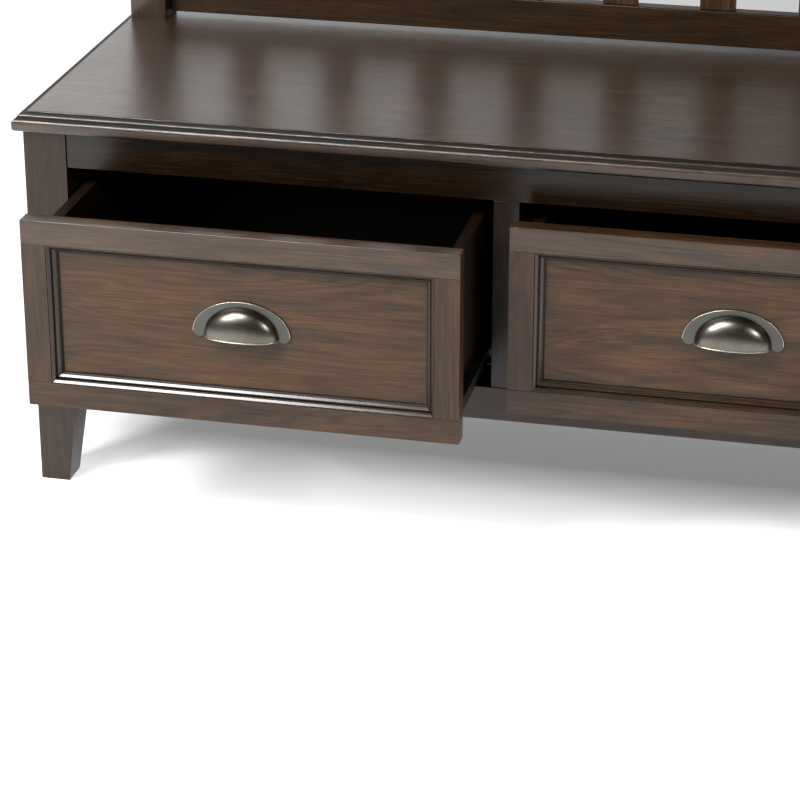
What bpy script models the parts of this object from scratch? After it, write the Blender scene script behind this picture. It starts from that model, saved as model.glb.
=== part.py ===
"""A hall tree with hooks: bench with two inset drawers, slatted back, hook rail and hat shelf.
Metres, +Z up, front faces -Y, the floor at Z = 0 and the middle of the bench at X = 0."""

import math

import bmesh
import bpy
from mathutils import Matrix, Vector

for old in list(bpy.data.objects):
    bpy.data.objects.remove(old)

MM = 0.001
GAP = 0.3
# Overall
BODY_W = 1048.4
HALF = BODY_W / 2
OVERALL_H = 1727.0
POST_FRONT = 365.0
POST_D = 43.3
POST_W = 43.0
BACK = POST_FRONT + POST_D
# Bench
LEG_W = 47.0
LEG_D = 56.0
FOOT_W = 33.0
FOOT_D = 34.0
TAPER_Z = 128.0
SEAT_UNDER = 409.7
SEAT_T = 20.5
SEAT_TOP = SEAT_UNDER + SEAT_T
FACE_Y = 2.0
RAIL_T = 20.0
APRON_Z = 370.0
RAIL_Z0 = 121.6
RAIL_Z1 = 159.8
STILE_W = 27.0
# Drawers
CLEAR = 2.5
FRONT_T = 20.0
FRAME_W = 26.0
PANEL_RECESS = 12.3
SLIDE_GAP = 12.7
SIDE_T = 12.5
BOX_L = 350.0
SIDE_Z0 = 168.0
SIDE_Z1 = 348.0
OPEN_LEFT = 157.0
OPEN_RIGHT = 67.0
# Back
RAIL_Y = 382.7
BACK_RAIL_T = 18.0
LOW_RAIL_Z0 = SEAT_TOP + 5.6
LOW_RAIL_Z1 = 476.0
SLAT_W = 40.4
SLAT_T = 10.0
SLATS = 8
HOOK_RAIL_Z0 = 1588.0
SHELF_T = 22.0
SHELF_Z0 = OVERALL_H - SHELF_T
SHELF_FRONT = 236.0
HOOKS = 4
HOOK_Z = 1646.0
# Pull
CUP_A = 39.5
CUP_B = 18.5
CUP_C = 27.5
PLATE_A = 51.5
PLATE_C = 35.0
PULL_PROUD = PANEL_RECESS - 1.8 - CUP_B
# Everything is moved forward so that the origin sits under the middle of the outline box.
Y_MIN = FACE_Y - OPEN_LEFT + PULL_PROUD
MID_Y = (Y_MIN + BACK) / 2

parts = bpy.data.collections.new("hall_tree_with_hooks")
cutters = bpy.data.collections.new("cutters")
bpy.context.scene.collection.children.link(parts)
bpy.context.scene.collection.children.link(cutters)
cutters.hide_render = True

KINDS = {
    "wood": ((0.055, 0.028, 0.018), 0.0, 0.3),
    "inner": ((0.03, 0.014, 0.010), 0.0, 0.55),
    "pewter": ((0.30, 0.29, 0.27), 1.0, 0.35),
    "steel": ((0.03, 0.03, 0.03), 0.0, 0.4),
}


def material(name, kind):
    color, metallic, roughness = KINDS[kind]
    mat = bpy.data.materials.new(name)
    mat.use_nodes = True
    shader = mat.node_tree.nodes["Principled BSDF"]
    shader.inputs["Base Color"].default_value = (*color, 1.0)
    shader.inputs["Metallic"].default_value = metallic
    shader.inputs["Roughness"].default_value = roughness
    mat.diffuse_color = (*color, 1.0)
    return mat


def at(x, y, z):
    """A point given in mm from the front of the legs, as a place in the scene."""
    return Vector((x * MM, (y - MID_Y) * MM, z * MM))


def place(name, bm, origin, kind, parent=None):
    """One object from a bmesh in metres about its own origin. Kind None makes a cutter."""
    mesh = bpy.data.meshes.new(name)
    bm.to_mesh(mesh)
    bm.free()
    obj = bpy.data.objects.new(name, mesh)
    if kind is None:
        cutters.objects.link(obj)
        obj.hide_render = True
        obj.display_type = "WIRE"
    else:
        parts.objects.link(obj)
        mesh.materials.append(material(name + "_mat", kind))
    obj.location = origin
    if parent is not None:
        obj.parent = parent
        obj.location = origin - parent.location
    return obj


def board(name, x, y, z, kind="wood", bevel=0.0, parent=None):
    """A cuboid from its (low, high) spans in mm. Its origin is its middle."""
    size = [(high - low) * MM for low, high in (x, y, z)]
    bm = bmesh.new()
    bmesh.ops.create_cube(bm, size=1.0, matrix=Matrix.Diagonal((*size, 1.0)))
    middle = at(sum(x) / 2, sum(y) / 2, sum(z) / 2)
    obj = place(name, bm, middle, kind, parent)
    if bevel:
        mod = obj.modifiers.new("eased_edges", "BEVEL")
        mod.width = bevel * MM
        mod.segments = 1
    return obj


def span(a, b):
    return (min(a, b), max(a, b))


def loft(name, sections, kind="wood"):
    """Skins a stack of rectangles (x0, x1, y0, y1, z) in mm and caps both ends."""
    bm = bmesh.new()
    base = at(0, 0, 0)
    rows = []
    for x0, x1, y0, y1, z in sections:
        corners = ((x0, y0), (x1, y0), (x1, y1), (x0, y1))
        rows.append([bm.verts.new(at(x, y, z) - base) for x, y in corners])
    for a, b in zip(rows, rows[1:]):
        for i in range(4):
            bm.faces.new((a[i], a[(i + 1) % 4], b[(i + 1) % 4], b[i]))
    bm.faces.new(rows[0])
    bm.faces.new(rows[-1])
    bmesh.ops.recalc_face_normals(bm, faces=bm.faces)
    return place(name, bm, base, kind)


def curve_to_mesh(name, curve, turn, origin, kind, parent):
    """Makes a curve solid into a welded mesh, so that it can be cut and joined."""
    guide = bpy.data.objects.new(name + "_curve", curve)
    bpy.context.scene.collection.objects.link(guide)
    bpy.context.view_layer.update()
    graph = bpy.context.evaluated_depsgraph_get()
    mesh = bpy.data.meshes.new_from_object(guide.evaluated_get(graph))
    bpy.data.objects.remove(guide)
    bm = bmesh.new()
    bm.from_mesh(mesh)
    bpy.data.meshes.remove(mesh)
    bmesh.ops.remove_doubles(bm, verts=bm.verts, dist=1e-6)
    bmesh.ops.transform(bm, matrix=turn.to_4x4(), verts=bm.verts)
    bmesh.ops.recalc_face_normals(bm, faces=bm.faces)
    return place(name, bm, origin, kind, parent)


FACING = {
    "x": Matrix(((0, 0, 1), (1, 0, 0), (0, 1, 0))),
    "y": Matrix(((1, 0, 0), (0, 0, -1), (0, 1, 0))),
}


def outline(name, points, axis, low, high, kind="wood", parent=None):
    """A flat outline in mm, (y, z) or (x, z), as a filled 2D curve extruded along x or y."""
    u0 = sum(p[0] for p in points) / len(points)
    v0 = sum(p[1] for p in points) / len(points)
    curve = bpy.data.curves.new(name, "CURVE")
    curve.dimensions = "2D"
    curve.fill_mode = "BOTH"
    curve.extrude = (high - low) / 2 * MM
    spline = curve.splines.new("POLY")
    spline.points.add(len(points) - 1)
    for point, (u, v) in zip(spline.points, points):
        point.co = ((u - u0) * MM, (v - v0) * MM, 0.0, 1.0)
    spline.use_cyclic_u = True
    middle = (low + high) / 2
    origin = at(middle, u0, v0) if axis == "x" else at(u0, middle, v0)
    return curve_to_mesh(name, curve, FACING[axis], origin, kind, parent)


def rod(name, points, radii, kind=None):
    """A round bar along points in mm, as a POLY curve with a bevel and filled caps."""
    start = points[0]
    curve = bpy.data.curves.new(name, "CURVE")
    curve.dimensions = "3D"
    curve.bevel_depth = MM
    curve.bevel_resolution = 1
    curve.use_fill_caps = True
    spline = curve.splines.new("POLY")
    spline.points.add(len(points) - 1)
    for point, where, radius in zip(spline.points, points, radii):
        point.co = (*(at(*where) - at(*start)), 1.0)
        point.radius = radius
    return curve_to_mesh(name, curve, Matrix.Identity(3), at(*start), kind, None)


def ball(name, center, radius):
    bm = bmesh.new()
    bmesh.ops.create_uvsphere(bm, u_segments=12, v_segments=8, radius=radius * MM)
    return place(name, bm, at(*center), None)


def boolean(obj, other, operation):
    mod = obj.modifiers.new(operation.lower() + "_" + other.name, "BOOLEAN")
    mod.operation = operation
    mod.solver = "EXACT"
    mod.object = other


def arc(cu, cv, ru, rv, start, end, steps, ends=True):
    """Points on an ellipse from one angle in degrees to another, with or without its two ends."""
    ks = range(steps + 1) if ends else range(1, steps)
    angles = [math.radians(start + (end - start) * k / steps) for k in ks]
    return [(cu + ru * math.cos(t), cv + rv * math.sin(t)) for t in angles]


# ---- Bench legs, square above the bottom rail and tapered on two faces below it; back posts
INNER = HALF - LEG_W
POST_OUT = HALF - 4
POST_IN = POST_OUT - POST_W
for side, s in (("left", -1), ("right", 1)):
    foot = (*span(s * HALF, s * (HALF - FOOT_W)), 0.0, FOOT_D, 0.0)
    knee = (*span(s * HALF, s * INNER), 0.0, LEG_D, TAPER_Z)
    top = (*span(s * HALF, s * INNER), 0.0, LEG_D, SEAT_UNDER - GAP)
    loft(f"front_leg_{side}", (foot, knee, top))
    board(
        f"back_post_{side}",
        span(s * POST_OUT, s * POST_IN),
        (POST_FRONT, BACK),
        (0.0, SHELF_Z0 - GAP),
        bevel=0.8,
    )

# ---- Front frame of the bench
FACE_Y_SPAN = (FACE_Y, FACE_Y + RAIL_T)
BETWEEN_LEGS = (-INNER + GAP, INNER - GAP)
board("front_apron", BETWEEN_LEGS, FACE_Y_SPAN, (APRON_Z, SEAT_UNDER - GAP))
board("front_bottom_rail", BETWEEN_LEGS, FACE_Y_SPAN, (RAIL_Z0, RAIL_Z1))
STILE_X = (-STILE_W / 2, STILE_W / 2)
board("center_stile", STILE_X, FACE_Y_SPAN, (RAIL_Z1 + GAP, APRON_Z - GAP))

# ---- Side boards, back board, bottom board, and the middle partition that carries the inner slides
BODY_Z = (RAIL_Z0, SEAT_UNDER - GAP)
for side, s in (("left", -1), ("right", 1)):
    across = span(s * (HALF - 7), s * (HALF - 22))
    board(f"side_board_{side}", across, (LEG_D + GAP, POST_FRONT - GAP), BODY_Z)
BETWEEN_POSTS = (-POST_IN + GAP, POST_IN - GAP)
board("back_board", BETWEEN_POSTS, (BACK - 12, BACK - 3), BODY_Z)
BEHIND_FRAME = (FACE_Y + RAIL_T + GAP, BACK - 12 - GAP)
board("bottom_board", BETWEEN_LEGS, BEHIND_FRAME, (RAIL_Z0 + 3, RAIL_Z0 + 9), "inner")
above_board = (RAIL_Z0 + 9 + GAP, SEAT_UNDER - GAP)
board("middle_partition", STILE_X, BEHIND_FRAME, above_board, "inner")

# ---- Bench top: a moulded edge on three sides, (up, out) in mm, notched round the back posts
EDGE = (
    (0.0, 5.3),
    (1.2, 8.1),
    (4.0, 9.3),
    (9.4, 9.3),
    (12.5, 8.0),
    (13.5, 6.4),
    (13.7, 5.2),
    (15.6, 4.1),
    (17.5, 3.5),
    (18.1, 2.3),
    (19.6, -4.3),
    (20.2, -4.6),
    (SEAT_T, -5.1),
)
top = loft("bench_top", [(-HALF - o, HALF + o, -o, BACK, SEAT_UNDER + u) for u, o in EDGE])
for side, s in (("left", -1), ("right", 1)):
    across = span(s * (POST_IN - GAP), s * (POST_OUT + GAP))
    deep = (POST_FRONT - GAP, BACK + 20)
    notch = board(f"notch_{side}", across, deep, (SEAT_UNDER - 20, SEAT_TOP + 20), None)
    boolean(top, notch, "DIFFERENCE")

# ---- Slatted back
RAIL_Y_SPAN = (RAIL_Y, RAIL_Y + BACK_RAIL_T)
board("back_rail_lower", BETWEEN_POSTS, RAIL_Y_SPAN, (LOW_RAIL_Z0, LOW_RAIL_Z1), bevel=1.2)
board("hook_rail", BETWEEN_POSTS, RAIL_Y_SPAN, (HOOK_RAIL_Z0, SHELF_Z0 - GAP), bevel=1.2)
SLAT_GAP = (2 * POST_IN - SLATS * SLAT_W) / (SLATS + 1)
for i in range(SLATS):
    x = -POST_IN + SLAT_GAP * (i + 1) + SLAT_W * i
    board(
        f"slat_{i + 1}",
        (x, x + SLAT_W),
        (RAIL_Y + 3, RAIL_Y + 3 + SLAT_T),
        (LOW_RAIL_Z1 + GAP, HOOK_RAIL_Z0 - GAP),
        bevel=0.8,
    )

# ---- Hat shelf with a moulded edge on three sides, and its two brackets on the posts
SHELF_EDGE = (
    (0.0, 0.0),
    (3.0, 0.8),
    (6.5, 3.6),
    (9.5, 7.2),
    (12.0, 8.9),
    (14.0, 9.3),
    (19.0, 9.3),
    (21.0, 8.4),
    (SHELF_T, 6.5),
)
loft(
    "hat_shelf",
    [(-HALF - o, HALF + o, SHELF_FRONT - o, BACK, SHELF_Z0 + u) for u, o in SHELF_EDGE],
)
for side, s in (("left", -1), ("right", 1)):
    tip = SHELF_FRONT + 12
    points = [(POST_FRONT - GAP, SHELF_Z0 - GAP), (tip, SHELF_Z0 - GAP)]
    reach = POST_FRONT - 22 - tip
    points += arc(tip, SHELF_Z0 - 120, reach, 102, 90, 0, 10)
    points += [(POST_FRONT - 22, SHELF_Z0 - 132), (POST_FRONT - GAP, SHELF_Z0 - 140)]
    x = s * (POST_IN + POST_OUT) / 2
    outline(f"shelf_bracket_{side}", points, "x", x - 11, x + 11)

# ---- Coat hooks: an oval plate, a long upper arm and a short lower arm, each with a ball end
PLATE_Y = RAIL_Y - GAP
for i in range(HOOKS):
    x = (i - (HOOKS - 1) / 2) * 2 * POST_IN / HOOKS
    points = arc(x, HOOK_Z - 4, 13, 38, 0, 345, 23)
    hook = outline(f"coat_hook_{i + 1}", points, "y", PLATE_Y - 4, PLATE_Y, "pewter")
    path = []
    for k in range(13):
        t = k / 12
        y = PLATE_Y - 3.5 - 62 * t - 8 * math.sin(math.pi * t)
        z = HOOK_Z + 4 - 22 * math.sin(math.pi * 0.78 * t) + 52 * t * t
        path.append((x, y, z))
    radii = [5.2 - 0.9 * k / 12 for k in range(13)]
    boolean(hook, rod(f"upper_arm_{i + 1}", path, radii), "UNION")
    end = (x, path[-1][1] - 1, path[-1][2] + 4)
    boolean(hook, ball(f"upper_ball_{i + 1}", end, 8.5), "UNION")
    path = []
    for y, z in arc(PLATE_Y - 23.2, HOOK_Z - 24, 17, 20, -9, -180, 10):
        path.append((x, y, z))
    path.append((x, path[-1][1], path[-1][2] + 7))
    radii = [4.8 - 0.06 * k for k in range(12)]
    boolean(hook, rod(f"lower_arm_{i + 1}", path, radii), "UNION")
    end = (x, path[-1][1], path[-1][2] + 4)
    boolean(hook, ball(f"lower_ball_{i + 1}", end, 7.0), "UNION")

# ---- Drawers
FRONT_Z0 = RAIL_Z1 + CLEAR
FRONT_Z1 = APRON_Z - CLEAR
FIXED_L = ((0, 176), (9.2, 176), (9.2, 177.4), (1.4, 177.4), (1.4, 206), (0, 206))
MOVING_L = ((0, 178.6), (1.4, 178.6), (1.4, 201.6), (9.2, 201.6), (9.2, 203), (0, 203))
# (inset, depth) of the bead in mm: a cove, a groove and a second small bead down to the panel
BEAD = (
    (0.0, 12.0),
    (0.0, 1.2),
    (0.9, 0.6),
    (2.2, 1.5),
    (3.4, 3.2),
    (5.4, 4.2),
    (5.9, 6.2),
    (6.5, 6.2),
    (7.2, 5.2),
    (8.6, 5.5),
    (9.6, 7.2),
    (10.0, 10.8),
    (10.0, 12.0),
)


def bead(name, x, y, z, parent):
    """A mitred ring: the bead's section carried round the inside of the drawer front's frame."""
    bm = bmesh.new()
    base = at(sum(x) / 2, y, sum(z) / 2)
    rows = []
    for inset, depth in BEAD:
        x0, x1 = x[0] + inset, x[1] - inset
        z0, z1 = z[0] + inset, z[1] - inset
        corners = ((x0, z0), (x1, z0), (x1, z1), (x0, z1))
        rows.append([bm.verts.new(at(u, y + depth, v) - base) for u, v in corners])
    for a, b in zip(rows, rows[1:] + rows[:1]):
        for i in range(4):
            bm.faces.new((a[i], a[(i + 1) % 4], b[(i + 1) % 4], b[i]))
    bmesh.ops.recalc_face_normals(bm, faces=bm.faces)
    return place(name, bm, base, "wood", parent)


def ellipsoid(name, center, radii):
    bm = bmesh.new()
    size = Matrix.Diagonal((*[r * MM for r in radii], 1.0))
    bmesh.ops.create_uvsphere(bm, u_segments=40, v_segments=24, radius=1.0, matrix=size)
    return place(name, bm, at(*center), None)


for name, x0, x1, opened in (
    ("left", -INNER, -STILE_W / 2, OPEN_LEFT),
    ("right", STILE_W / 2, INNER, OPEN_RIGHT),
):
    # The drawer's pieces hang on an empty that marks the line it slides along.
    fy = FACE_Y - opened
    mid = (x0 + x1) / 2
    runner = bpy.data.objects.new(f"{name}_drawer_slide_axis", None)
    parts.objects.link(runner)
    runner.location = at(mid, fy, (FRONT_Z0 + FRONT_Z1) / 2)

    # Front: two rails, two stiles, a bead and a flat panel
    fx0, fx1 = x0 + CLEAR, x1 - CLEAR
    zt, zb = FRONT_Z1 - FRAME_W, FRONT_Z0 + FRAME_W
    label = f"{name}_drawer_"
    thick = (fy, fy + FRONT_T)
    board(label + "front_top_rail", (fx0, fx1), thick, (zt, FRONT_Z1), parent=runner)
    board(label + "front_bottom_rail", (fx0, fx1), thick, (FRONT_Z0, zb), parent=runner)
    inner_z = (zb + GAP, zt - GAP)
    board(label + "front_stile_left", (fx0, fx0 + FRAME_W), thick, inner_z, parent=runner)
    board(label + "front_stile_right", (fx1 - FRAME_W, fx1), thick, inner_z, parent=runner)
    inner_x = (fx0 + FRAME_W + GAP, fx1 - FRAME_W - GAP)
    bead(label + "front_bead", inner_x, fy, inner_z, runner)
    panel_y = (fy + PANEL_RECESS, fy + PANEL_RECESS + 6)
    board(label + "front_panel", inner_x, panel_y, inner_z, parent=runner)

    # Box: two sides, a back and a bottom
    sx0, sx1 = x0 + SLIDE_GAP, x1 - SLIDE_GAP
    by0 = fy + FRONT_T + GAP
    by1 = by0 + BOX_L
    side_z = (SIDE_Z0, SIDE_Z1)
    board(label + "side_left", (sx0, sx0 + SIDE_T), (by0, by1), side_z, "inner", parent=runner)
    board(label + "side_right", (sx1 - SIDE_T, sx1), (by0, by1), side_z, "inner", parent=runner)
    between = (sx0 + SIDE_T + GAP, sx1 - SIDE_T - GAP)
    back_z = (SIDE_Z0 + 14.3, SIDE_Z1)
    board(label + "back", between, (by1 - 12, by1), back_z, "inner", parent=runner)
    bottom_z = (SIDE_Z0 + 8, SIDE_Z0 + 14)
    board(label + "bottom", between, (by0, by1), bottom_z, "inner", parent=runner)

    # Slides: a fixed member with a front roller on leg or partition, and a moving member
    for hand, wall, s in (("left", x0, 1), ("right", x1, -1)):
        y0 = FACE_Y + RAIL_T + 3
        points = [(wall + s * (GAP + u), v) for u, v in FIXED_L]
        fixed = outline(f"{name}_cabinet_slide_{hand}", points, "y", y0, y0 + 350, "steel")
        bm = bmesh.new()
        bmesh.ops.create_cone(
            bm,
            cap_ends=True,
            segments=20,
            radius1=10.4 * MM,
            radius2=10.4 * MM,
            depth=8 * MM,
            matrix=Matrix.Rotation(math.pi / 2, 4, "Y"),
        )
        hub = at(wall + s * (GAP + 4.6), y0 + 11, 190.6)
        boolean(fixed, place(f"roller_{name}_{hand}", bm, hub, None), "UNION")
        edge = wall + s * (SLIDE_GAP - GAP)
        points = [(edge - s * u, v) for u, v in MOVING_L]
        outline(label + f"slide_{hand}", points, "y", by0 + 4, by0 + 340, "steel", runner)

    # Cup pull: an arched flange with two lobes and a half dome, open underneath
    pz = (FRONT_Z0 + FRONT_Z1) / 2 - 6.7
    py = fy + PANEL_RECESS - GAP
    points = arc(mid, pz, PLATE_A, PLATE_C, 0, 180, 24)
    points += arc(mid - PLATE_A + 6, pz, 6, 6, 180, 360, 8, False)
    points += arc(mid, pz, CUP_A - 1, CUP_C - 1, 180, 0, 20)
    points += arc(mid + PLATE_A - 6, pz, 6, 6, 180, 360, 8, False)
    pull = outline(label + "cup_pull", points, "y", py - 1.5, py, "pewter", runner)
    center = (mid, py - 1.5, pz - 3)
    shell = ellipsoid(f"cup_{name}", center, (CUP_A, CUP_B, CUP_C + 3))
    hollow = ellipsoid(f"cup_hollow_{name}", center, (CUP_A - 2, CUP_B - 2, CUP_C + 1))
    boolean(shell, hollow, "DIFFERENCE")
    half = board(f"cup_half_{name}", (mid - 60, mid + 60), (py - 60, py - 0.7), (pz - 3, pz + 60), None)
    boolean(shell, half, "INTERSECT")
    boolean(pull, shell, "UNION")
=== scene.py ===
"""Looks for the hall tree: dark stained pine with a clear coat, pewter pulls and hooks, black slides."""

import math

import bmesh
import bpy
from mathutils import Matrix, Vector


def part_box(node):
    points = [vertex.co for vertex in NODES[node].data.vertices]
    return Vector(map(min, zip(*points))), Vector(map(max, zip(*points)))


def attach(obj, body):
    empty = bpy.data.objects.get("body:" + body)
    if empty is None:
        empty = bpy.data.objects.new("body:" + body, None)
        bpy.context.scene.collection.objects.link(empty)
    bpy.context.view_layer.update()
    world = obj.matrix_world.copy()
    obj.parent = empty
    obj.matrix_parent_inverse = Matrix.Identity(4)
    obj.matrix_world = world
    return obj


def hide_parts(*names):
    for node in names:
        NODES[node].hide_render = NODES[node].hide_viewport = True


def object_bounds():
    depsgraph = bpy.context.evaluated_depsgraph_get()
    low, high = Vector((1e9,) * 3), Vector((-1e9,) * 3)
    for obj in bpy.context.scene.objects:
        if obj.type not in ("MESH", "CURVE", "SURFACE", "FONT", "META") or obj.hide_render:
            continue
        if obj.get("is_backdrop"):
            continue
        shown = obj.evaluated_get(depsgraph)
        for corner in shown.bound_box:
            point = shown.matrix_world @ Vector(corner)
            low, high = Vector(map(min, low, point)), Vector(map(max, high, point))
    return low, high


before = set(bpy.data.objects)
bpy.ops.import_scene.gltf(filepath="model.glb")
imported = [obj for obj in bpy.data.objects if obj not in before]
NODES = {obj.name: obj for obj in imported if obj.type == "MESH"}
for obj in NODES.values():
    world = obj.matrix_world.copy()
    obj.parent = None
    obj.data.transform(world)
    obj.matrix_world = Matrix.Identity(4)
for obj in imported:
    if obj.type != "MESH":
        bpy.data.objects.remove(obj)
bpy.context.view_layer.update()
SCENE = bpy.context.scene


# ---------------------------------------------------------------- node helpers
def new_material(name):
    mat = bpy.data.materials.new(name)
    mat.use_nodes = True
    tree = mat.node_tree
    tree.nodes.clear()
    out = tree.nodes.new("ShaderNodeOutputMaterial")
    shader = tree.nodes.new("ShaderNodeBsdfPrincipled")
    tree.links.new(shader.outputs[0], out.inputs[0])
    return mat, tree, shader


def math_node(tree, operation, a, b):
    node = tree.nodes.new("ShaderNodeMath")
    node.operation = operation
    for socket, value in zip(node.inputs, (a, b)):
        if isinstance(value, (int, float)):
            socket.default_value = value
        else:
            tree.links.new(value, socket)
    return node.outputs[0]


def map_range(tree, value, low, high, to_low, to_high):
    node = tree.nodes.new("ShaderNodeMapRange")
    tree.links.new(value, node.inputs["Value"])
    node.inputs["From Min"].default_value = low
    node.inputs["From Max"].default_value = high
    node.inputs["To Min"].default_value = to_low
    node.inputs["To Max"].default_value = to_high
    return node.outputs[0]


def coordinates(tree, scale, shift):
    coords = tree.nodes.new("ShaderNodeTexCoord")
    mapping = tree.nodes.new("ShaderNodeMapping")
    tree.links.new(coords.outputs["Object"], mapping.inputs["Vector"])
    mapping.inputs["Location"].default_value = shift
    mapping.inputs["Scale"].default_value = scale
    return mapping.outputs[0]


def noise(tree, vector, scale, detail, roughness=0.55, distortion=0.0):
    node = tree.nodes.new("ShaderNodeTexNoise")
    tree.links.new(vector, node.inputs["Vector"])
    node.inputs["Scale"].default_value = scale
    node.inputs["Detail"].default_value = detail
    node.inputs["Roughness"].default_value = roughness
    node.inputs["Distortion"].default_value = distortion
    return node.outputs[0]


def ramp(tree, value, stops):
    node = tree.nodes.new("ShaderNodeValToRGB")
    tree.links.new(value, node.inputs[0])
    elements = node.color_ramp.elements
    while len(elements) < len(stops):
        elements.new(0.5)
    for element, (place, color) in zip(elements, stops):
        element.position = place
        element.color = (*color, 1.0)
    return node.outputs[0]


def mix_color(tree, factor, a, b, blend="MIX"):
    node = tree.nodes.new("ShaderNodeMix")
    node.data_type = "RGBA"
    node.blend_type = blend
    for socket, value in ((node.inputs[0], factor), (node.inputs[6], a), (node.inputs[7], b)):
        if isinstance(value, tuple):
            socket.default_value = (*value, 1.0)
        elif isinstance(value, (int, float)):
            socket.default_value = value
        else:
            tree.links.new(value, socket)
    return node.outputs[2]


def bump(tree, shader, height, strength, distance, socket="Normal"):
    node = tree.nodes.new("ShaderNodeBump")
    node.inputs["Strength"].default_value = strength
    node.inputs["Distance"].default_value = distance
    tree.links.new(height, node.inputs["Height"])
    tree.links.new(node.outputs[0], shader.inputs[socket])


# ---------------------------------------------------------------- materials
DARK = (0.026, 0.0132, 0.0062)
MIDDLE = (0.049, 0.0240, 0.0102)
LIGHT = (0.093, 0.0420, 0.0155)


def along(axis, grain, across):
    """Texture scale that stretches a pattern along one axis."""
    return tuple(grain if i == "xyz".index(axis) else across for i in range(3))


def blend_to(color, target, share):
    return tuple(max(c + (t - c) * share, 0.002) for c, t in zip(color, target))


def wood(name, axis, seed, rough, coat, tone, grain_bump=0.2, calm=0.0, film=0.14):
    """Stained pine, grain along one axis: figure, growth lines, streaks, pores and a clear coat.

    tone scales the colour, calm pulls it towards the middle shade, and film is the coat's roughness."""
    mat, tree, shader = new_material(name)
    shift = (seed * 0.731 % 3.0, seed * 1.137 % 3.0, seed * 0.417 % 3.0)
    figure = noise(tree, coordinates(tree, along(axis, 0.8, 8.0), shift), 2.1, 2.0, 0.45, 0.9)
    # Growth lines: the broad figure, folded many times, gives long arches.
    lines = math_node(tree, "SINE", math_node(tree, "MULTIPLY", figure, 95.0), 0.0)
    lines = map_range(tree, lines, -1.0, 1.0, 0.0, 1.0)
    lines = math_node(tree, "POWER", lines, 0.5)
    streak = noise(tree, coordinates(tree, along(axis, 8.0, 290.0), shift), 1.6, 4.0, 0.66, 0.35)
    blot = noise(tree, coordinates(tree, along(axis, 5.0, 26.0), shift), 1.7, 4.0, 0.6, 0.5)
    fibre = noise(tree, coordinates(tree, along(axis, 26.0, 900.0), shift), 1.0, 3.0, 0.7, 0.1)
    mixed = math_node(tree, "MULTIPLY", streak, 0.50)
    mixed = math_node(tree, "ADD", mixed, math_node(tree, "MULTIPLY", lines, 0.13))
    mixed = math_node(tree, "ADD", mixed, math_node(tree, "MULTIPLY", blot, 0.37))
    shades = [blend_to(color, MIDDLE, calm) for color in (DARK, MIDDLE, LIGHT)]
    shades = [tuple(c * tone for c in color) for color in shades]
    color = ramp(tree, mixed, ((0.38, shades[0]), (0.54, shades[1]), (0.74, shades[2])))
    pores = map_range(tree, fibre, 0.36, 0.60, 0.66, 1.08)
    pore_color = tree.nodes.new("ShaderNodeCombineColor")
    for socket in pore_color.inputs[:3]:
        tree.links.new(pores, socket)
    color = mix_color(tree, 1.0, color, pore_color.outputs[0], "MULTIPLY")
    tree.links.new(color, shader.inputs["Base Color"])
    wear = noise(tree, coordinates(tree, (6.0, 6.0, 6.0), shift), 1.5, 4.0, 0.6)
    base = map_range(tree, wear, 0.3, 0.7, rough - 0.04, rough + 0.05)
    finer = math_node(tree, "MULTIPLY", math_node(tree, "SUBTRACT", fibre, 0.5), 0.10)
    tree.links.new(math_node(tree, "ADD", base, finer), shader.inputs["Roughness"])
    shader.inputs["IOR"].default_value = 1.46
    shader.inputs["Coat Weight"].default_value = coat
    shader.inputs["Coat Roughness"].default_value = film
    shader.inputs["Specular IOR Level"].default_value = 0.44
    fine, broad = (math_node(tree, "MULTIPLY", part, 0.5) for part in (fibre, streak))
    height = math_node(tree, "ADD", fine, broad)
    bump(tree, shader, height, grain_bump, 0.0005)
    bump(tree, shader, height, grain_bump * 0.35, 0.0005, "Coat Normal")
    return mat


def metal(name, color, dark, rough, brushed=0.05, patch=0.5, painted_dark_back=False):
    """Cast metal with cloudy patches of a darker shade and a fine grit."""
    mat, tree, shader = new_material(name)
    cloud = noise(tree, coordinates(tree, (1, 1, 1), (0.3, 0.1, 0.7)), 38.0, 4.0, 0.6, 0.3)
    blend = map_range(tree, cloud, 0.35, 0.72, 0.0, patch)
    if painted_dark_back:
        # Painted reflection: the colour turns dark and brown towards the plate, for the dark band that the
        # top of the cup mirrors; the nose keeps the lighter shade.
        coords = tree.nodes.new("ShaderNodeTexCoord")
        split = tree.nodes.new("ShaderNodeSeparateXYZ")
        tree.links.new(coords.outputs["Generated"], split.inputs[0])
        painted_dark_band = map_range(tree, split.outputs[1], 0.40, 0.86, 0.0, 0.9)
        blend = math_node(tree, "MAXIMUM", blend, painted_dark_band)
    tree.links.new(mix_color(tree, blend, color, dark), shader.inputs["Base Color"])
    grit = noise(tree, coordinates(tree, (60, 900, 900), (0, 0, 0)), 1.0, 3.0, 0.7)
    low = map_range(tree, grit, 0.3, 0.7, rough - brushed, rough + brushed)
    smear = math_node(tree, "MULTIPLY", math_node(tree, "SUBTRACT", cloud, 0.5), 0.12)
    tree.links.new(math_node(tree, "ADD", low, smear), shader.inputs["Roughness"])
    shader.inputs["Metallic"].default_value = 1.0
    bump(tree, shader, grit, 0.02, 0.0002)
    return mat


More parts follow.
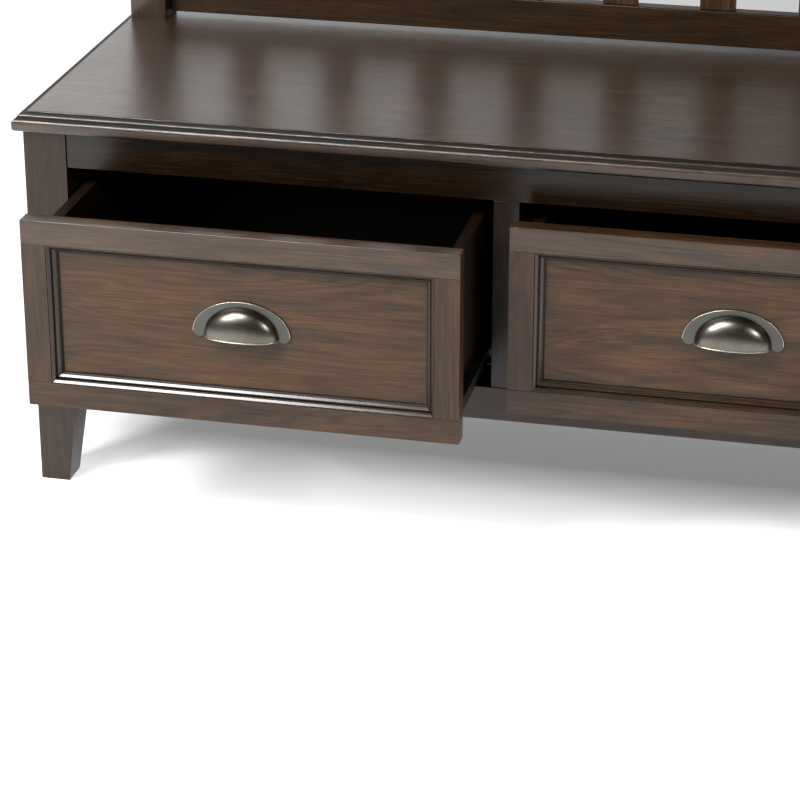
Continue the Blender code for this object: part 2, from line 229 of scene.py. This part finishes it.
PEWTER = metal("pewter", (0.26, 0.25, 0.225), (0.12, 0.09, 0.065), 0.30, 0.04, 0.6)
CUP = metal("pewter_cup", (0.195, 0.186, 0.160), (0.098, 0.066, 0.039), 0.30, 0.03, 0.35, True)
PLATE = metal("pewter_plate", (0.128, 0.130, 0.119), (0.094, 0.090, 0.079), 0.42, 0.05, 0.35)
WORN_AND_HIGHLIGHT = metal("worn_edge_and_highlight", (0.62, 0.55, 0.45), (0.42, 0.35, 0.27), 0.30)
ZINC = metal("zinc", (0.62, 0.63, 0.62), (0.42, 0.42, 0.42), 0.34)
EPOXY, TREE, SHADER = new_material("black_epoxy")
SHADER.inputs["Base Color"].default_value = (0.008, 0.008, 0.008, 1)
PEEL = noise(TREE, coordinates(TREE, (1, 1, 1), (0, 0, 0)), 400.0, 3.0)
TREE.links.new(map_range(TREE, PEEL, 0.3, 0.7, 0.38, 0.55), SHADER.inputs["Roughness"])
bump(TREE, SHADER, PEEL, 0.15, 0.0003)
NYLON, TREE, SHADER = new_material("nylon")
SHADER.inputs["Base Color"].default_value = (0.025, 0.025, 0.025, 1)
DUST = noise(TREE, coordinates(TREE, (1, 1, 1), (0, 0, 0)), 240.0, 3.0)
TREE.links.new(map_range(TREE, DUST, 0.3, 0.7, 0.35, 0.5), SHADER.inputs["Roughness"])


def grain_axis(name):
    """The grain of a board runs along its longest side."""
    low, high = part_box(name)
    size = high - low
    return "xyz"[max(range(3), key=lambda i: size[i])]


# ---------------------------------------------------------------- CAD nodes that are shown as they are
# How far the edges of a board are rounded, in metres
SOFT = 0.0011
CRISP = 0.00025
# Only edges that turn by more than this are rounded.
TURN = math.radians(35)


def tidy_edges(obj, width, segments=2, only_top=False):
    """Welds and rounds the edges. only_top leaves all but the top ones nearly sharp."""
    mesh = obj.data
    custom = mesh.attributes.get("custom_normal")
    if custom is not None:
        mesh.attributes.remove(custom)
    for face in mesh.polygons:
        face.use_smooth = width > 0.0
    weld = obj.modifiers.new("weld", "WELD")
    weld.merge_threshold = 0.00002
    if width:
        bevel = obj.modifiers.new("bevel", "BEVEL")
        bevel.width = width
        bevel.segments = segments
        bevel.limit_method = "ANGLE"
        bevel.angle_limit = TURN
        bevel.use_clamp_overlap = True
        if only_top:
            bevel.limit_method = "WEIGHT"
            top = max(v.co.z for v in mesh.vertices)
            weights = mesh.attributes.new("bevel_weight_edge", "FLOAT", "EDGE")
            for edge, weight in zip(mesh.edges, weights.data):
                upper = all(mesh.vertices[i].co.z > top - 0.0001 for i in edge.vertices)
                weight.value = 1.0 if upper else 0.25
        normals = obj.modifiers.new("normals", "WEIGHTED_NORMAL")
        normals.keep_sharp = True
        normals.weight = 80


def paint(obj, mat):
    obj.data.materials.clear()
    obj.data.materials.append(mat)
    for face in obj.data.polygons:
        face.material_index = 0


def board_look(name):
    """The wood of one board, and how far its edges are rounded."""
    if name.endswith("front_panel"):
        return dict(rough=0.34, coat=0.0, tone=1.45), 0.0
    if "_front_" in name and name.endswith("top_rail"):
        return dict(rough=0.24, coat=0.5, tone=1.05), SOFT
    if "_front_" in name and "drawer" in name:
        return dict(rough=0.30, coat=0.1, tone=1.05), CRISP
    if name == "back_rail":
        return dict(rough=0.30, coat=0.3, tone=1.75, calm=-0.2), SOFT
    if name.startswith("back_post"):
        return dict(rough=0.28, coat=0.6, tone=0.8), SOFT
    if name == "front_bottom_rail" or "leg" in name:
        return dict(rough=0.30, coat=0.0, tone=0.55, calm=0.2), SOFT
    if name.startswith(("slat", "hook_rail")):
        return dict(rough=0.30, coat=0.3, tone=1.25, calm=-0.2), SOFT
    # Painted shade: the drawer boxes are dark, for the dark inside of the case.
    if name.split("drawer_")[-1] in ("side_left", "side_right", "back", "bottom"):
        return dict(rough=0.34, coat=0.2, tone=0.24), 0.0008
    # The apron and the centre stile are darker: partly their own tone, partly painted shade under the top
    # and between the drawers.
    if name in ("front_apron", "center_stile"):
        return dict(rough=0.24, coat=0.0, tone=0.34), 0.0006
    # Painted shade: the partition and the bottom board are dark, for the dark inside of the case.
    if name in ("middle_partition", "bottom_board"):
        return dict(rough=0.5, coat=0.0, tone=0.2), SOFT
    if name == "back_board":
        return dict(rough=0.4, coat=0.1, tone=0.8), SOFT
    return dict(rough=0.27, coat=0.1, tone=0.7, calm=0.2), SOFT


for seed, name in enumerate(sorted(NODES), 3):
    # These are shown by finer pieces, further down.
    if name.startswith(("bench_top", "coat_hook")) or name.endswith(("cup_pull", "front_bead")):
        continue
    obj = NODES[name]
    if "_slide_" in name:
        tidy_edges(obj, 0.0002, 1)
        paint(obj, EPOXY)
        continue
    kind, width = board_look(name)
    tidy_edges(obj, width, only_top=name.endswith("front_top_rail"))
    paint(obj, wood("wood_" + name, grain_axis(name), seed, **kind))


# ---------------------------------------------------------------- mesh helpers, metres in the row frame
def make(name, bm, mat, body, smooth=True, stands_for=()):
    """Makes one piece from bm. It rides on body and stands for some nodes."""
    bmesh.ops.recalc_face_normals(bm, faces=bm.faces)
    if bm.calc_volume(signed=True) < 0:
        bmesh.ops.reverse_faces(bm, faces=bm.faces)
    for face in bm.faces:
        face.smooth = smooth
    mesh = bpy.data.meshes.new(name)
    bm.to_mesh(mesh)
    bm.free()
    obj = bpy.data.objects.new(name, mesh)
    SCENE.collection.objects.link(obj)
    mesh.materials.append(mat)
    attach(obj, body)
    if stands_for:
        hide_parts(*stands_for)
    return obj


def skin(loops, closed_ends=True):
    """A surface through closed loops of points, one after the other."""
    bm = bmesh.new()
    rows = [[bm.verts.new(p) for p in loop] for loop in loops]
    n = len(rows[0])
    for a, b in zip(rows, rows[1:]):
        for i in range(n):
            bm.faces.new((a[i], a[(i + 1) % n], b[(i + 1) % n], b[i]))
    if closed_ends:
        bm.faces.new(rows[0])
        bm.faces.new(rows[-1])
    return bm


def turns(sides):
    """Angles of evenly spaced points round a circle."""
    return [2 * math.pi * k / sides for k in range(sides)]


def tube(points, radii, sides):
    """A round rod along points, with parallel frames and domed ends."""
    pts = [Vector(p) for p in points]
    radii = list(radii)
    for end in (0, -1):
        inner = pts[1] if end == 0 else pts[-2]
        way = (pts[end] - inner).normalized()
        r = radii[end]
        dome = [(pts[end] + way * r * math.sin(t), r * math.cos(t)) for t in (0.5, 0.95, 1.25, 1.5)]
        if end == 0:
            pts = [place for place, _ in reversed(dome)] + pts
            radii = [size for _, size in reversed(dome)] + radii
        else:
            pts = pts + [place for place, _ in dome]
            radii = radii + [size for _, size in dome]
    side = None
    loops = []
    for i, p in enumerate(pts):
        way = (pts[min(i + 1, len(pts) - 1)] - pts[max(i - 1, 0)]).normalized()
        if side is None:
            side = way.orthogonal().normalized()
        side = (side - way * side.dot(way)).normalized()
        other = way.cross(side)
        r = radii[i]
        loops.append([p + side * math.cos(t) * r + other * math.sin(t) * r for t in turns(sides)])
    return skin(loops)


def disc(center, radius, depth, sides, crown):
    """A round head facing -Y with a softened rim."""
    x, y, z = center
    rim = ((radius, 0.0), (radius, depth * 0.6), (radius * 0.86, depth * 0.95))
    loops = []
    for r, d in (*rim, (radius * 0.4, depth + crown)):
        loops.append([(x + r * math.cos(t), y - d, z + r * math.sin(t)) for t in turns(sides)])
    return skin(loops)


def rings(x, y, z, steps, sides):
    """Circles round a line along X, from (radius, place along X) pairs."""
    return [[(x + d, y + r * math.cos(t), z + r * math.sin(t)) for t in turns(sides)] for r, d in steps]


def slot_cut(obj, center, length, width, depth, angle):
    """Cross slot of a screw head, cut from geometry."""
    cut = bmesh.new()
    for turn in (angle, angle + math.pi / 2):
        place = Matrix.Translation(center) @ Matrix.Rotation(turn, 4, "Y")
        size = Matrix.Diagonal((length, depth, width, 1.0))
        bmesh.ops.create_cube(cut, size=1.0, matrix=place @ size)
    mesh = bpy.data.meshes.new("cut")
    cut.to_mesh(mesh)
    cut.free()
    subtract(obj, mesh)


# ---------------------------------------------------------------- drawer bead: a mitred stick in two steps
def arc(u, v, radius, start, end, steps):
    """Points on an arc, in millimetres and degrees."""
    angles = [math.radians(start + (end - start) * k / steps) for k in range(steps + 1)]
    return [(u + radius * math.cos(t), v + radius * math.sin(t)) for t in angles]


def bead_step(inset, depth):
    """One member of the bead: a rounded arris, then a slope at 45 degrees that rolls over at its end."""
    end = [(inset + 3.0, depth + 2.3), (inset + 3.5, depth + 3.0), (inset + 3.8, depth + 3.9)]
    return arc(inset + 0.6, depth + 0.6, 0.6, 180, 315, 4) + end


# (inset from the frame, depth behind its face), in millimetres: a step, a groove, a step and a foot
BEAD = [(0.0, 12.0), *bead_step(0.0, 0.4), (3.85, 6.7), (4.85, 6.9), *bead_step(4.9, 5.9)]
BEAD += [(9.5, 10.3), (9.8, 10.9), (9.8, 12.0)]

# Stain and painted shade darken the groove between the steps and the foot; stain darkens the frame line.
# Insets in metres.
GROOVE = (0.00381, 0.00489)
FOOT = 0.0089
REAR = 0.0001


def bead(side):
    node = f"{side}_drawer_front_bead"
    low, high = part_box(node)
    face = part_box(f"{side}_drawer_front_top_rail")[0].y
    loops = []
    for inset, depth in BEAD:
        d = inset * 0.001
        y = face + depth * 0.001
        left, right, foot, head = low.x + d, high.x - d, low.z + d, high.z - d
        loops.append([(left, y, foot), (right, y, foot), (right, y, head), (left, y, head)])
    bm = skin(loops + [loops[0]], closed_ends=False)
    bmesh.ops.remove_doubles(bm, verts=bm.verts, dist=1e-6)
    # The long sticks have their grain along X and the short ones along Z. The upper stick is duller and
    # darker: painted shade.
    mat = wood(f"bead_{side}_x", "x", 51, 0.15, 1.0, 0.85, 0.04, 0.5)
    obj = make(f"{side}_bead", bm, mat, f"{side}_drawer", stands_for=[node])
    obj.data.materials.append(wood(f"bead_{side}_z", "z", 57, 0.24, 0.4, 0.75, 0.04, 0.5))
    obj.data.materials.append(wood(f"bead_{side}_stain_and_shade", "x", 61, 0.5, 0.0, 0.10))
    obj.data.materials.append(wood(f"bead_{side}_upper", "x", 63, 0.32, 0.0, 0.55, 0.04, 0.5))
    for part in obj.data.polygons:
        part.use_smooth = False
        mid = part.center
        across = min(mid.x - low.x, high.x - mid.x)
        upright = min(mid.z - low.z, high.z - mid.z)
        inset = min(across, upright)
        # Stain and painted shade: the groove and the foot are darker, and stain darkens the frame line.
        if GROOVE[0] < inset < GROOVE[1] or inset > FOOT or inset < REAR:
            part.material_index = 2
        elif across < upright:
            part.material_index = 1
        elif high.z - mid.z < mid.z - low.z:
            part.material_index = 3


# ---------------------------------------------------------------- bench top: a moulded edge on three sides
# (height over the underside, distance out from the base line), in millimetres: a nose, a hollow, a roll,
# a quirk and an arris
TOP_EDGE = arc(4.0, 5.3, 4.0, 180, 90, 6) + arc(9.4, 4.9, 4.4, 90, 20, 8)
TOP_EDGE += [(13.7, 5.2), (14.4, 4.4), (15.6, 4.1)] + arc(15.9, 1.9, 2.2, 80, 10, 6)
TOP_EDGE += [(18.4, 0.6), (19.0, -2.4), (19.6, -4.3), (20.2, -4.6), (20.4, -5.0)]

# The darker bands of the edge: height over the underside, in metres
HOLLOW = (0.01355, 0.0161)
QUIRK = (0.0181, 0.0199)
# Only the top and the underside are larger than this, in square metres
BROAD = 0.02
NOTCH_GAP = Vector((0.0003, 0.0003, 0.0))
PAST_THE_BACK = Vector((0, 0.03, 0))


def bench_top():
    low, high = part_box("bench_top")
    out = max(o for _, o in TOP_EDGE) * 0.001
    x0, x1, y0 = low.x + out, high.x - out, low.y + out
    loops = []
    for up, o in TOP_EDGE:
        o = o * 0.001
        z = low.z + up * 0.001
        front = [(x0 - o, y0 - o, z), (x1 + o, y0 - o, z)]
        loops.append(front + [(x1 + o, high.y, z), (x0 - o, high.y, z)])
    bm = skin(loops)
    mat = wood("wood_bench_top", "x", 11, 0.34, 0.95, 0.85, 1.8, -0.2, 0.21)
    obj = make("seat_board", bm, mat, "frame", smooth=False, stands_for=["bench_top"])
    for side in ("left", "right"):
        a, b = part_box(f"back_post_{side}")
        a, b = a - NOTCH_GAP, b + NOTCH_GAP + PAST_THE_BACK
        size = Matrix.Diagonal((b.x - a.x, b.y - a.y, 0.2, 1.0))
        place = Matrix.Translation(((a.x + b.x) / 2, (a.y + b.y) / 2, low.z))
        cut = bmesh.new()
        bmesh.ops.create_cube(cut, size=1.0, matrix=place @ size)
        mesh = bpy.data.meshes.new("notch")
        cut.to_mesh(mesh)
        cut.free()
        subtract(obj, mesh)
    mesh = obj.data
    for face in mesh.polygons:
        face.use_smooth = True
    mesh.set_sharp_from_angle(angle=math.radians(32))
    # Stain and painted shade darken the hollow and the quirk.
    first = len(mesh.materials)
    mesh.materials.append(wood("wood_edge_hollow", "x", 13, 0.6, 0.0, 0.08, 0.2, -0.2))
    mesh.materials.append(wood("wood_edge_quirk", "x", 17, 0.5, 0.0, 0.16))
    for face in mesh.polygons:
        height = face.center.z - low.z
        if face.area > BROAD:
            # The broad faces stay flat, so that a mirror image in them runs straight.
            for corner in face.loop_indices:
                mesh.edges[mesh.loops[corner].edge_index].use_edge_sharp = True
        elif HOLLOW[0] < height <= HOLLOW[1]:
            face.material_index = first
        elif QUIRK[0] <= height < QUIRK[1]:
            face.material_index = first + 1


def subtract(obj, mesh):
    """Cuts mesh out of obj."""
    tool = bpy.data.objects.new("cut_" + obj.name, mesh)
    SCENE.collection.objects.link(tool)
    mod = obj.modifiers.new("cut", "BOOLEAN")
    mod.operation = "DIFFERENCE"
    mod.solver = "EXACT"
    mod.use_self = True
    mod.object = tool
    graph = bpy.context.evaluated_depsgraph_get()
    done = bpy.data.meshes.new_from_object(obj.evaluated_get(graph))
    obj.modifiers.clear()
    obj.data = done
    bpy.data.objects.remove(tool)


# ---------------------------------------------------------------- cup pull
# In metres: the plate's height, its margin beside the cup and above it, its thickness, the cup's wall, and
# the room that the rolled lip needs in front
PLATE_H = 0.0348
SIDE_RIM = 0.012
TOP_RIM = 0.0058
PLATE_T = 0.0016
WALL_T = 0.0015
LIP_ROOM = 0.0009
# The cup bulges a little more than an ellipsoid.
BULGE = 0.92


def cup_pull(side):
    node = f"{side}_drawer_cup_pull"
    low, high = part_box(node)
    body = f"{side}_drawer"
    x = (low.x + high.x) / 2
    back = high.y
    front = low.y
    out_a = (high.x - low.x) / 2
    base = high.z - PLATE_H
    a, c = out_a - SIDE_RIM, PLATE_H - TOP_RIM

    def half_ring(center_x, radius_x, radius_z, start, turn, steps):
        """Points on a half ellipse in the plate's plane, steps of them from start to start + turn."""
        angles = [start + turn * k for k in steps]
        return [(center_x + radius_x * math.cos(t), base + radius_z * math.sin(t)) for t in angles]

    def outline(grow):
        """The plate: an arch with two round feet, grown outwards all round."""
        arch = [k / 56 for k in range(57)]
        foot = [k / 13 for k in range(1, 13)]
        r = (out_a - a + 0.0012) / 2
        cx = out_a - r
        pts = half_ring(x, out_a + grow, PLATE_H + grow, 0.0, math.pi, arch)
        pts += half_ring(x - cx, r + grow, r + grow, math.pi, math.pi, foot)
        pts += half_ring(x, a - 0.0012 - grow, c - 0.0012 - grow, math.pi, -math.pi, arch)
        return pts + half_ring(x + cx, r + grow, r + grow, math.pi, math.pi, foot)

    loops = []
    for grow, share in ((0.0, 0.0), (0.0, 0.6), (-0.0002, 0.88), (-0.0006, 1.0)):
        loops.append([(u, back - PLATE_T * share, v) for u, v in outline(grow)])
    plate = make(f"{side}_pull_plate", skin(loops), PLATE, body, stands_for=[node])
    for face in plate.data.polygons:
        face.use_smooth = len(face.vertices) == 4

    # The cup: a hollow quarter of an ellipsoid, open below.
    depth = back - PLATE_T * 0.5 - front - LIP_ROOM

    def cup_row(phi, share, deep):
        y = back - PLATE_T * 0.5 - deep * math.sin(phi) ** BULGE
        foot, rise = base - 0.003, (c + 0.003) * share
        angles = [math.pi * k / 60 for k in range(61)]
        return [(x + a * share * math.cos(t), y, foot + rise * math.sin(t)) for t in angles]

    outer = []
    inner = []
    for j in range(25):
        phi = math.pi / 2 * j / 24
        share = math.cos(phi) ** 0.9 if j < 24 else 0.0
        outer.append(cup_row(phi, share, depth))
        inner.append(cup_row(phi, max(share - 0.045, 0.0), depth - WALL_T))
    bm = bmesh.new()
    o, n = [[[bm.verts.new(p) for p in row] for row in rows] for rows in (outer, inner)]
    for grid in (o, n):
        for r0, r1 in zip(grid, grid[1:]):
            for i in range(60):
                bm.faces.new((r0[i], r0[i + 1], r1[i + 1], r1[i]))
    for i in range(60):
        bm.faces.new((o[0][i], o[0][i + 1], n[0][i + 1], n[0][i]))
    for end in (0, 60):
        for j in range(24):
            bm.faces.new((o[j][end], o[j + 1][end], n[j + 1][end], n[j][end]))
    bmesh.ops.remove_doubles(bm, verts=bm.verts, dist=2e-6)
    bmesh.ops.dissolve_degenerate(bm, dist=1e-6, edges=bm.edges)
    cup = make(f"{side}_pull_cup", bm, CUP, body)
    cup.data.set_sharp_from_angle(angle=math.radians(50))

    # Bright edges: a worn edge along the lip, and a painted highlight round the plate's rim
    lip = []
    for j in range(33):
        t = math.pi * j / 32
        reach = (depth - PLATE_T * 0.4) * math.sin(t) ** BULGE if 0 < j < 32 else 0.0
        hand = 1 if t < math.pi / 2 else -1
        u = x + (a - 0.0004) * hand * abs(math.cos(t)) ** 0.9
        lip.append((u, back - PLATE_T - reach, base - 0.0031))
    make(f"{side}_pull_lip", tube(lip, [0.00065] * len(lip), 12), WORN_AND_HIGHLIGHT, body)
    rim = []
    for k in range(97):
        t = math.pi * (k / 96)
        u = x + (out_a - 0.0003) * math.cos(t)
        rim.append((u, back - PLATE_T + 0.0002, base + (PLATE_H - 0.0003) * math.sin(t)))
    make(f"{side}_pull_rim", tube(rim, [0.00040] * len(rim), 12), WORN_AND_HIGHLIGHT, body)


# ---------------------------------------------------------------- coat hooks
# Steps of a hook's plate, from its back: (growth of the outline, distance from the wall), in metres
PLATE_STEPS = ((0.0, 0.0), (0.0, 0.0022), (-0.0006, 0.0034), (-0.0018, 0.0040), (-0.0035, 0.0042))


def coat_hook(index):
    node = f"coat_hook_{index}"
    low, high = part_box(node)
    x = (low.x + high.x) / 2
    back = high.y
    z = high.z - 0.0585
    loops = []
    for grow, y in PLATE_STEPS:
        loop = []
        for t in turns(64):
            w = 0.013 + grow
            h = 0.038 + grow
            pinch = 1.0 - 0.16 * math.sin(t) ** 2 + 0.10 * math.sin(2 * t) ** 2
            loop.append((x + w * math.cos(t) * pinch, back - y, z - 0.004 + h * math.sin(t)))
        loops.append(loop)
    make(f"hook_plate_{index}", skin(loops), PEWTER, "frame", stands_for=[node])

    # The upper arm swings out and up; the lower one is a short U.
    path = []
    radii = []
    for k in range(29):
        t = k / 28
        y = back - 0.0030 - 0.062 * t - 0.008 * math.sin(math.pi * t)
        path.append((x, y, z + 0.004 - 0.022 * math.sin(math.pi * 0.78 * t) + 0.052 * t * t))
        radii.append(0.0058 - 0.0022 * t + 0.0012 * t**6)
    make(f"hook_upper_{index}", tube(path, radii, 20), PEWTER, "frame")
    end, before = Vector(path[-1]), Vector(path[-3])
    knob(f"hook_knob_upper_{index}", end + Vector((0, -0.001, 0.004)), end - before, 0.0084)
    path = []
    radii = []
    for k in range(25):
        t = math.pi * (0.02 + 0.98 * k / 24)
        path.append((x, back - 0.0055 - 0.0174 * (1 - math.cos(t)), z - 0.024 - 0.020 * math.sin(t)))
        radii.append(0.0050 - 0.0012 * k / 24)
    path.append((x, path[-1][1], path[-1][2] + 0.005))
    radii.append(0.0038)
    make(f"hook_lower_{index}", tube(path, radii, 20), PEWTER, "frame")
    end = Vector(path[-1]) + Vector((0, 0, 0.004))
    knob(f"hook_knob_lower_{index}", end, Vector((0, 0, 1)), 0.0069)
    for j, up in enumerate((0.026, -0.034)):
        head = disc((x, back - 0.0040, z + up), 0.0036, 0.0013, 24, 0.0002)
        screw = make(f"hook_screw_{index}_{j + 1}", head, PEWTER, "frame")
        face = Vector((x, back - 0.0055, z + up))
        slot_cut(screw, face, 0.0044, 0.0008, 0.0014, 0.4 + index + j)


# The collar under a knob: (height, radius), in radii of the ball
COLLAR = ((-1.32, 0.50), (-1.22, 0.66), (-1.06, 0.68), (-0.94, 0.56), (-0.84, 0.54))


def knob(name, center, way, radius):
    """A ball end with a small collar under it."""
    turn = way.normalized().to_track_quat("Z", "Y").to_matrix().to_4x4()
    loops = []
    for up, r in COLLAR:
        ring = [Vector((math.cos(a) * r, math.sin(a) * r, up)) for a in turns(24)]
        loops.append([turn @ place * radius + center for place in ring])
    for j in range(1, 12):
        t = math.pi * (0.18 + 0.80 * j / 11)
        r = math.sin(t)
        ring = [Vector((math.cos(a) * r, math.sin(a) * r, -math.cos(t))) for a in turns(24)]
        loops.append([turn @ place * radius + center for place in ring])
    make(name, skin(loops), PEWTER, "frame")


bench_top()
for side in ("left", "right"):
    bead(side)
    cup_pull(side)
for index in range(1, 5):
    coat_hook(index)

# ---------------------------------------------------------------- slide rollers and their pins
# (radius, distance from the slide's web), in metres
ROLLER = ((0.0096, 0.0), (0.01046, 0.0006), (0.01046, 0.0074), (0.0098, 0.0081))
PIN = ((0.0030, 0.0078), (0.0030, 0.0086), (0.0022, 0.0089))
WEB = 0.0014

for side in ("left", "right"):
    for hand, s in (("left", 1), ("right", -1)):
        node = f"{side}_cabinet_slide_{hand}"
        low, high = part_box(node)
        x0 = (low.x if s > 0 else high.x) + s * WEB
        y = low.y + 0.011
        z = low.z + 0.0146
        loops = rings(x0, y, z, [(r, s * d) for r, d in ROLLER], 40)
        make(f"{side}_roller_{hand}", skin(loops), NYLON, "frame")
        loops = rings(x0, y, z, [(r, s * d) for r, d in PIN], 20)
        make(f"{side}_roller_pin_{hand}", skin(loops), ZINC, "frame")

# ---------------------------------------------------------------- floor, light and camera
bpy.ops.mesh.primitive_plane_add(size=40, location=(0, 6, 0))
floor = bpy.context.object
floor.name = "floor"
FLOOR, TREE, SHADER = new_material("floor")
SHADER.inputs["Base Color"].default_value = (0.86, 0.86, 0.86, 1)
SHADER.inputs["Specular IOR Level"].default_value = 0.1
# Painted light: the floor glows, less under the bench, so that the shadow stays soft and pale. It glows
# less far in front too, where the lower rails and the legs mirror it.
SHADER.inputs["Emission Color"].default_value = (1, 1, 1, 1)
PLACE = TREE.nodes.new("ShaderNodeNewGeometry")
SPLIT = TREE.nodes.new("ShaderNodeSeparateXYZ")
TREE.links.new(PLACE.outputs["Position"], SPLIT.inputs[0])
NEAR = map_range(TREE, SPLIT.outputs[1], 0.04, -0.16, 0.18, 0.97)
FAR = map_range(TREE, SPLIT.outputs[1], -0.50, -0.32, 0.05, 0.95)
AHEAD = math_node(TREE, "MINIMUM", NEAR, FAR)
ASIDE = map_range(TREE, math_node(TREE, "ABSOLUTE", SPLIT.outputs[0], 0.0), 0.50, 0.75, 0.19, 0.60)
TREE.links.new(math_node(TREE, "MAXIMUM", AHEAD, ASIDE), SHADER.inputs["Emission Strength"])
DUST = noise(TREE, coordinates(TREE, (1, 1, 1), (0, 0, 0)), 3.0, 3.0)
TREE.links.new(map_range(TREE, DUST, 0.3, 0.7, 0.62, 0.7), SHADER.inputs["Roughness"])
floor.data.materials.append(FLOOR)
floor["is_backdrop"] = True

world = bpy.data.worlds.new("studio")
SCENE.world = world
world.use_nodes = True
TREE = world.node_tree
background = TREE.nodes["Background"]
background.inputs["Color"].default_value = (1.0, 1.0, 1.0, 1)
# Bright towards the back, the left and the horizon, dimmer overhead and in front.
sky = TREE.nodes.new("ShaderNodeTexCoord")
split = TREE.nodes.new("ShaderNodeSeparateXYZ")
TREE.links.new(sky.outputs["Generated"], split.inputs[0])
rise = map_range(TREE, split.outputs[2], 0.35, 0.8, 1.0, 0.40)
depth = map_range(TREE, split.outputs[1], -0.2, 0.5, 0.05, 1.15)
side_fall = map_range(TREE, split.outputs[0], -0.36, -0.05, 1.1, 0.15)
strength = math_node(TREE, "MULTIPLY", math_node(TREE, "MULTIPLY", rise, depth), side_fall)
TREE.links.new(strength, background.inputs["Strength"])


def softbox(name, place, target, size, power):
    data = bpy.data.lights.new(name, "AREA")
    data.shape = "RECTANGLE"
    data.size, data.size_y = size
    data.energy = power
    lamp = bpy.data.objects.new(name, data)
    SCENE.collection.objects.link(lamp)
    lamp.location = place
    lamp.rotation_euler = (Vector(target) - Vector(place)).to_track_quat("-Z", "Y").to_euler()


softbox("key", (-1.8, -1.8, 2.1), (0, 0, 0.3), (0.6, 0.6), 56)
softbox("side", (2.6, -2.2, 2.3), (0, 0, 0.3), (0.4, 0.5), 34)
softbox("top", (-1.35, -1.95, 3.3), (0, -0.4, 0.0), (1.4, 1.1), 100)

camera_data = bpy.data.cameras.new("camera")
camera = bpy.data.objects.new("camera", camera_data)
SCENE.collection.objects.link(camera)
SCENE.camera = camera
camera_data.lens = 127.47
camera_data.sensor_width = 36.0
camera_data.clip_end = 100.0
camera_data.shift_x = 0.0180
camera_data.shift_y = -0.0017
# Where the camera looks was solved from the straight edges that show in the photograph.
RIGHT = Vector((0.97383, 0.22726, -0.00164))
UP = Vector((-0.09026, 0.39339, 0.91493))
BACKWARD = Vector((0.20857, -0.89084, 0.40361))
camera.rotation_euler = Matrix((RIGHT, UP, BACKWARD)).transposed().to_euler()
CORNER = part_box("front_leg_left")[0]
camera.location = CORNER + Vector((1.0304, -2.7096, 1.3636))

SCENE.view_settings.view_transform = "Standard"

low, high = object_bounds()
